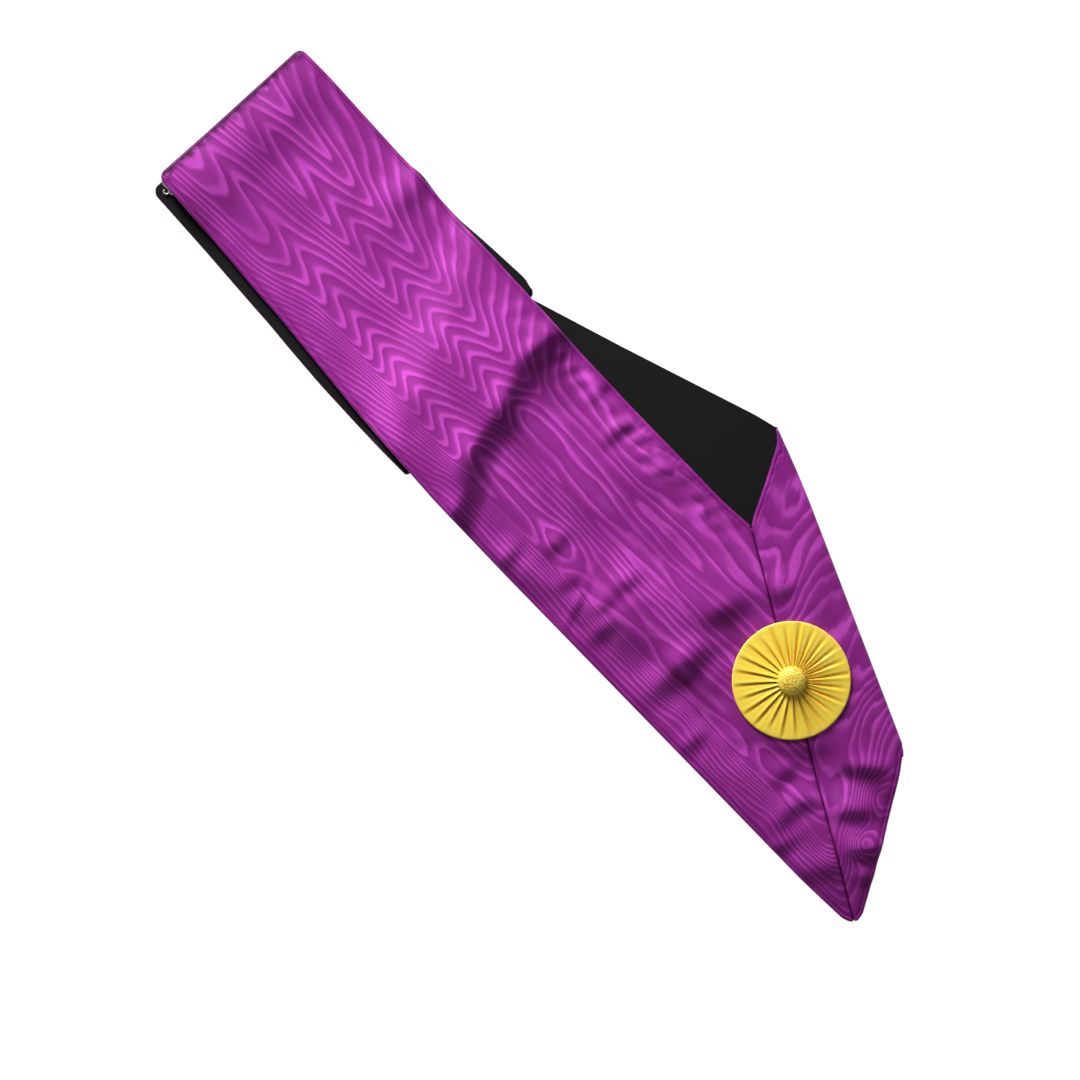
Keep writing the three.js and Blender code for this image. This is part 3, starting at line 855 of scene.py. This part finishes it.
RIGHT_HILLS = [
    (60, 6, 9, 11, -3.6), (36, 9.3, 7, 9, -3.2), (98, 23, 22, 6, -2.6), (149, 78, 15, 9, 2.0),
    (78, 42, 12, 9, -1.1), (128, 60, 20, 9, -1.0), (188, 84, 16, 10, 1.2),
]
away = right_laid - RIGHT_CORNER
ahead = away[:, 0] * math.cos(RIGHT_LEAN) + away[:, 1] * math.sin(RIGHT_LEAN)
aside = away[:, 0] * math.sin(RIGHT_LEAN) - away[:, 1] * math.cos(RIGHT_LEAN)
right_rings = flowing(aside, RIGHT_ASIDE)[:, 0] + flowing(ahead, RIGHT_AHEAD)[:, 0]
water(right_face, np.column_stack([ahead, aside]), right_rings + hills(ahead, aside, RIGHT_HILLS))
add_solid(right_face, CLOTH)
right_face.data.materials.append(purple_moire)
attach(right_face, "root")
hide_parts("right_strap_face")

# The linings: a black sateen stitched to the back of each strap. It is a little narrower than the
# ribbon, so that a thin purple rim shows round it.
LINING_OFFSET = 1.12
LINING_ROLL = 0.4
LINING_CLOTH = 0.7
LINING_INSET = (0.75, math.radians(90))
LINING_FLUSH = (0.45, math.radians(90))


def black_lining():
    material, _, shader = new_material("black_lining")
    shader.inputs["Base Color"].default_value = srgb(10, 9, 10)
    shader.inputs["Roughness"].default_value = 0.8
    shader.inputs["Specular IOR Level"].default_value = 0.2
    return material


black_sateen = black_lining()
for name, stretches, node, neck_edge, fine_reach in (
    ("left_strap_sateen", left_stretches, "left_strap_lining", LINING_INSET, LEFT_FINE),
    ("right_strap_sateen", right_stretches, "right_strap_lining", LINING_FLUSH, RIGHT_FINE),
):
    lining = lay_cloth(name, stretches, -1, LINING_OFFSET, LINING_ROLL, LINING_INSET, neck_edge,
                       fine_reach)[0]
    add_solid(lining, LINING_CLOTH)
    lining.data.materials.append(black_sateen)
    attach(lining, "root")
    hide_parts(node)

# The seam's allowance: the turned edges of both ribbons, which are sewn together along the mitre. They
# lie flat under it, and show through the seam as a dark line of painted shade: they wear the moire
# without hem distances, so they take its dark hem colour all over.
SEAM_WIDTH = 3.0
SEAM_OFFSET = -0.05
SEAM_CLOTH = 0.3
SEAM_STEPS = 90
SEAM_SHARES = (0.003, 0.992)
bm = bmesh.new()
bmesh.ops.create_grid(bm, x_segments=4, y_segments=SEAM_STEPS, size=0.5)
tip, notch = np.array(VEE_TIP), np.array(VEE_NOTCH)
run = (notch - tip) / np.linalg.norm(notch - tip)
for vert in bm.verts:
    here = mix(tip, notch, mix(*SEAM_SHARES, vert.co.y + 0.5))
    along, across = here + np.array([run[1], -run[0]]) * vert.co.x * SEAM_WIDTH
    height = float(top_height(np.array([along]), np.array([across]))[0]) + SEAM_OFFSET
    vert.co = in_frame(along, across, height)
bm.normal_update()
bmesh.ops.recalc_face_normals(bm, faces=bm.faces)
if sum(face.normal.z for face in bm.faces) < 0:
    bmesh.ops.reverse_faces(bm, faces=bm.faces)
allowance_in_painted_shade = finished(bm, "mitre_allowance")
add_solid(allowance_in_painted_shade, SEAM_CLOTH)
# With no hem distances, the moire paints the whole allowance in its dark hem shade.
allowance_in_painted_shade.data.materials.append(purple_moire)
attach(allowance_in_painted_shade, "root")

# The rosette: a length of gold satin ribbon, knife pleated into a round. It is drawn up tight at its
# middle, where the pleats stand sharp, and it lies smooth at the rim. It is sewn over the mitre.
PLEATS = 24
ROSETTE_RADIUS = 29.1
HUB_RADIUS = 4.6
RIM_HALF = 0.6
RIM_POINTS = 6
ROSETTE_RINGS = 34
PLEAT_STEPS = 16
RIBBON_TOP = 2 * RIM_HALF
BACK_POINTS = [(0, 0), (14, 0), (24, 0)]
PLEAT_DEPTH = [
    (4, 1.0), (6, 1.2), (9, 1.1), (15, 0.75), (21, 0.48), (25, 0.28), (27.5, 0.1), (30, 0.05),
]
PLEAT_LEAN = 0.5
PLEAT_SWIRL = 0.35
GROOVE_WIDTH = 0.17
RIDGE_PLACE = -0.26
RIDGE_WIDTH = 0.16
RIDGE_SHARE = 0.6
SHADE_WIDTH = 0.25
LEAST_HEIGHT = 0.15
ROSETTE_DOME = 0.7
rosette_seat = rosette_low.z / MM


def spun(profile, steps):
    """A round shell spun from a profile of radius and height, which starts and ends on its axis."""
    bm = bmesh.new()
    points = [bm.verts.new((radius, 0, height)) for radius, height in profile]
    chain = [bm.edges.new(pair) for pair in zip(points, points[1:])]
    bmesh.ops.spin(bm, geom=points + chain, cent=(0, 0, 0), axis=(0, 0, 1), angle=2 * math.pi,
                   steps=steps, use_merge=True)
    bmesh.ops.remove_doubles(bm, verts=bm.verts, dist=1e-4)
    bmesh.ops.recalc_face_normals(bm, faces=bm.faces)
    return bm


def set_down(bm, name, place):
    """The finished shape, in millimetres about its own middle, becomes a piece at its place."""
    for vert in bm.verts:
        vert.co = in_frame(vert.co.y + place[0], vert.co.x + place[1], vert.co.z)
    return finished(bm, name)


rim_turns = [math.pi * turn / RIM_POINTS for turn in range(RIM_POINTS + 1)]
rim_points = [(ROSETTE_RADIUS - RIM_HALF * (1 - math.sin(turn)), RIM_HALF * (1 - math.cos(turn)))
              for turn in rim_turns]
top_start = rim_points[-1][0]
top_points = [(mix(top_start, HUB_RADIUS, ring / ROSETTE_RINGS), RIBBON_TOP)
              for ring in range(1, ROSETTE_RINGS + 1)]
bm = spun([*BACK_POINTS, *rim_points, *top_points, (0, RIBBON_TOP)], PLEATS * PLEAT_STEPS)
painted_fold_shades = [0.0] * len(bm.verts)
for number, vert in enumerate(bm.verts):
    radius = math.hypot(vert.co.x, vert.co.y)
    if vert.co.z < RIBBON_TOP - 0.02 or radius < 0.1:
        vert.co.z += rosette_seat
        continue
    bearing = math.atan2(vert.co.y, vert.co.x)
    count = bearing * PLEATS / (2 * math.pi) + PLEAT_SWIRL * (1 - radius / ROSETTE_RADIUS) ** 2
    pleat = math.floor(count)
    place = count - pleat - 0.5
    # No two pleats run out equally far towards the rim.
    fade = 1 + 0.06 * math.sin(2.7 * pleat) + 0.04 * math.sin(5.1 * pleat + 1)
    inward = 1 - min(max((radius - HUB_RADIUS) / (ROSETTE_RADIUS - HUB_RADIUS), 0), 1)
    depth = float(flowing(np.array([radius * fade]), PLEAT_DEPTH)[0, 0])
    groove = hump(place, 0, GROOVE_WIDTH)
    ridge = hump(place, RIDGE_PLACE, RIDGE_WIDTH)
    # Painted shade down each groove: how far the satin's colour deepens there, most where the pleat is
    # deep.
    painted_fold_shades[number] = min(1.3 * depth, 1) * hump(place, 0, SHADE_WIDTH)
    bearing += PLEAT_LEAN * depth * ridge / max(radius, 1)
    vert.co.x, vert.co.y = radius * math.cos(bearing), radius * math.sin(bearing)
    domed = ROSETTE_DOME * inward
    lowest = RIBBON_TOP - LEAST_HEIGHT + domed
    vert.co.z += rosette_seat + domed + max(depth * (RIDGE_SHARE * ridge - groove), -lowest)
rosette = set_down(bm, "rosette_ribbon", ROSETTE_PLACE)
rosette.data.attributes.new("painted_fold_shade", "FLOAT", "POINT").data.foreach_set("value", painted_fold_shades)


def gold_satin():
    """Satin ribbon: a warm yellow with a soft gloss, fine threads that catch the light, and painted
    shade down in its folds, where the colour deepens to orange."""
    material, tree, shader = new_material("gold_satin")
    grain = noise(tree, tree.nodes.new("ShaderNodeTexCoord").outputs["Object"], 900, 3)
    shade_in_folds = attribute(tree, "painted_fold_shade").outputs["Fac"]
    tone = blended(tree, grain, srgb(255, 209, 47), srgb(255, 237, 100))
    # The folds are painted in shade, with a deeper orange gold.
    tree.links.new(blended(tree, shade_in_folds, tone, srgb(224, 160, 20)), shader.inputs["Base Color"])
    bumped(tree, grain, 0.3, 0.08, shader)
    shader.inputs["Roughness"].default_value = 0.42
    shader.inputs["Specular IOR Level"].default_value = 0.4
    return material


rosette.data.materials.append(gold_satin())
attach(rosette, "root")
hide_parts("rosette_pleats")

# The button: a domed form covered in gold thread cloth, whose edge is gathered under it. It is sewn
# on through the rosette's middle.
BUTTON_RADIUS = 7.1
BUTTON_NECK = 5.4
BUTTON_FOOT = 1.0
BUTTON_EDGE = 2.9
BUTTON_RISE = 3.3
BUTTON_RINGS = 18
BUTTON_STEPS = 72
DOME_POWER = 0.9
GATHER_COUNT = 26
GATHER_SHARE = 0.012
GATHER_HEIGHT = 0.9
dome = [(BUTTON_RADIUS * math.cos(turn) ** DOME_POWER, BUTTON_EDGE + BUTTON_RISE * math.sin(turn))
        for turn in (math.pi / 2 * ring / BUTTON_RINGS for ring in range(BUTTON_RINGS))]
lip = [(BUTTON_NECK, BUTTON_EDGE - 1.0), (6.2, BUTTON_EDGE - 0.85), (6.8, BUTTON_EDGE - 0.5)]
foot = [(0, BUTTON_FOOT), (BUTTON_NECK, BUTTON_FOOT)]
bm = spun([*foot, *lip, *dome, (0, BUTTON_EDGE + BUTTON_RISE)], BUTTON_STEPS)
for vert in bm.verts:
    radius = math.hypot(vert.co.x, vert.co.y)
    bearing = math.atan2(vert.co.y, vert.co.x)
    gathered = hump(vert.co.z, BUTTON_EDGE, GATHER_HEIGHT) * (radius > 6)
    grow = 1 + GATHER_SHARE * gathered * math.sin(GATHER_COUNT * bearing + math.sin(5 * bearing))
    vert.co = (vert.co.x * grow, vert.co.y * grow, vert.co.z + rosette_seat)
button = set_down(bm, "rosette_button_cloth", ROSETTE_PLACE)


def gold_thread_cloth():
    """Cloth woven of metal thread: small crossing glints over a mottled gold."""
    material, tree, shader = new_material("gold_thread_cloth")
    places = tree.nodes.new("ShaderNodeTexCoord").outputs["Object"]
    glints = tree.nodes.new("ShaderNodeTexVoronoi")
    glints.inputs["Scale"].default_value = 1050
    tree.links.new(places, glints.inputs["Vector"])
    speckled = ranged(tree, noise(tree, places, 1100, 3), (0.38, 0.62), (0, 1), "LINEAR")
    tone = blended(tree, speckled, srgb(236, 176, 30), srgb(255, 246, 112))
    tree.links.new(tone, shader.inputs["Base Color"])
    bumped(tree, glints.outputs["Distance"], 0.8, 0.4, shader)
    shader.inputs["Metallic"].default_value = 0.05
    shader.inputs["Roughness"].default_value = 0.36
    return material


button.data.materials.append(gold_thread_cloth())
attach(button, "root")
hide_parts("rosette_button")

# The catch at the nape's corner: a bent wire hook, and the wire eye that it holds. Each ends in two
# rings, which are sewn to a lining.
WIRE_RADIUS = 0.4
RING_RADIUS = 1.3
EYE_HALF = 2.9
EYE_ARM = 3.0
HOOK_HALF = 0.75
HOOK_BEND = 2 * WIRE_RADIUS + 0.3
HOOK_RETURN = 2.5
WIRE_LOW = STRAP_THICK + 0.3 + WIRE_RADIUS


def arc(middle, radius, first, last, steps):
    """Places round part of a circle on the flat, from one bearing in degrees to another."""
    bearings = [math.radians(mix(first, last, step / steps)) for step in range(steps + 1)]
    x, y, z = middle
    return [(x + radius * math.cos(b), y + radius * math.sin(b), z) for b in bearings]


def wire(name, half, node):
    """A wire that is alike on both sides, laid through the places of its left half."""
    places = half + [(-x, y, z) for x, y, z in reversed(half[:-1])]
    curve = bpy.data.curves.new(name, "CURVE")
    curve.dimensions = "3D"
    curve.bevel_depth = WIRE_RADIUS * MM
    curve.bevel_resolution = 3
    curve.use_fill_caps = True
    spline = curve.splines.new("BEZIER")
    spline.bezier_points.add(len(places) - 1)
    for point, (x, y, z) in zip(spline.bezier_points, places):
        point.co = in_frame(y + CATCH_PLACE[0], x + CATCH_PLACE[1], z)
        point.handle_left_type = point.handle_right_type = "AUTO"
    spline.resolution_u = 5
    piece = linked(name, curve)
    curve.materials.append(nickel)
    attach(piece, "root")
    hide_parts(node)


def nickel_plate():
    """Bright plated wire, a little worn."""
    material, tree, shader = new_material("nickel_plate")
    wear = noise(tree, tree.nodes.new("ShaderNodeTexCoord").outputs["Object"], 800)
    gloss = ranged(tree, wear, (0, 1), (0.18, 0.42), "LINEAR")
    tree.links.new(gloss, shader.inputs["Roughness"])
    shader.inputs["Base Color"].default_value = srgb(232, 228, 222)
    shader.inputs["Metallic"].default_value = 0.75
    return material


nickel = nickel_plate()
eye_ring = arc((-EYE_HALF - RING_RADIUS, 0, WIRE_LOW), RING_RADIUS, 90, 345, 6)
eye_loop = arc((0, EYE_ARM, 0), EYE_HALF, 180, 90, 4)
eye_lift = [WIRE_LOW + HOOK_BEND * float(smooth(step / 3)) for step in range(5)]
eye_bow = [(x, y, z) for (x, y, _), z in zip(eye_loop, eye_lift)]
wire("nape_eye_wire", eye_ring + eye_bow, "nape_eye")

hook_top = WIRE_LOW + 2 * HOOK_BEND
hook_end = EYE_ARM + EYE_HALF
hook_ring = arc((-HOOK_HALF - RING_RADIUS, -HOOK_RETURN, hook_top), RING_RADIUS, 90, 345, 6)
hook_shank = [(-HOOK_HALF, hook_end / 2 - HOOK_RETURN, hook_top)]
hook_bend = []
for turn in (math.pi * (0.5 - step / 4) for step in range(5)):
    bend_drop = HOOK_BEND * (1 - math.sin(turn))
    hook_bend.append((-HOOK_HALF, hook_end + HOOK_BEND * math.cos(turn), hook_top - bend_drop))
hook_tip = arc((0, hook_end - HOOK_RETURN, WIRE_LOW), HOOK_HALF, 180, 270, 2)
wire("nape_hook_wire", hook_ring + hook_shank + hook_bend + hook_tip, "nape_hook")

# The light: three soft lamps beyond the nape, one above the other and low enough to model the
# dents, and pale daylight from all round. The floor is a white sheet that glows, so that it stays
# even right up to the cloth.
FLOOR_SIZE = 3
DAYLIGHT = 0.18
bm = bmesh.new()
bmesh.ops.create_grid(bm, x_segments=1, y_segments=1, size=FLOOR_SIZE)
floor = finished(bm, "floor")
floor_paint, _, floor_shader = new_material("floor_white")
floor_shader.inputs["Base Color"].default_value = (0.2, 0.2, 0.2, 1)
floor_shader.inputs["Roughness"].default_value = 0.9
floor_shader.inputs["Emission Color"].default_value = (1, 1, 1, 1)
floor_shader.inputs["Emission Strength"].default_value = 0.97
floor.data.materials.append(floor_paint)

LAMP_AIM = (335, 45)
LAMP_DISTANCE = 1.6
LAMP_RISES = (15, 24, 34)
LAMP_BEARING = math.radians(20)
LAMP_SIZE = (0.6, 0.24)
LAMP_SPREAD = math.radians(17)
LAMP_POWER = 0.48
aim = in_frame(*LAMP_AIM)
for degrees in LAMP_RISES:
    rise = math.radians(degrees)
    reach = LAMP_DISTANCE * math.cos(rise)
    lamp = linked("lamp", bpy.data.lights.new("lamp", "AREA"))
    lamp.data.energy = LAMP_POWER
    lamp.data.shape = "RECTANGLE"
    lamp.data.size, lamp.data.size_y = LAMP_SIZE
    lamp.data.spread = LAMP_SPREAD
    lamp.location = (
        aim[0] + reach * math.sin(LAMP_BEARING),
        aim[1] + reach * math.cos(LAMP_BEARING),
        LAMP_DISTANCE * math.sin(rise),
    )
    lamp.rotation_euler = (rise - math.pi / 2, 0, -LAMP_BEARING)

world = bpy.data.worlds.new("studio")
world.use_nodes = True
world.node_tree.nodes["Background"].inputs["Color"].default_value = (1, 1, 1, 1)
world.node_tree.nodes["Background"].inputs["Strength"].default_value = DAYLIGHT
bpy.context.scene.world = world
bpy.context.scene.view_settings.view_transform = "Standard"
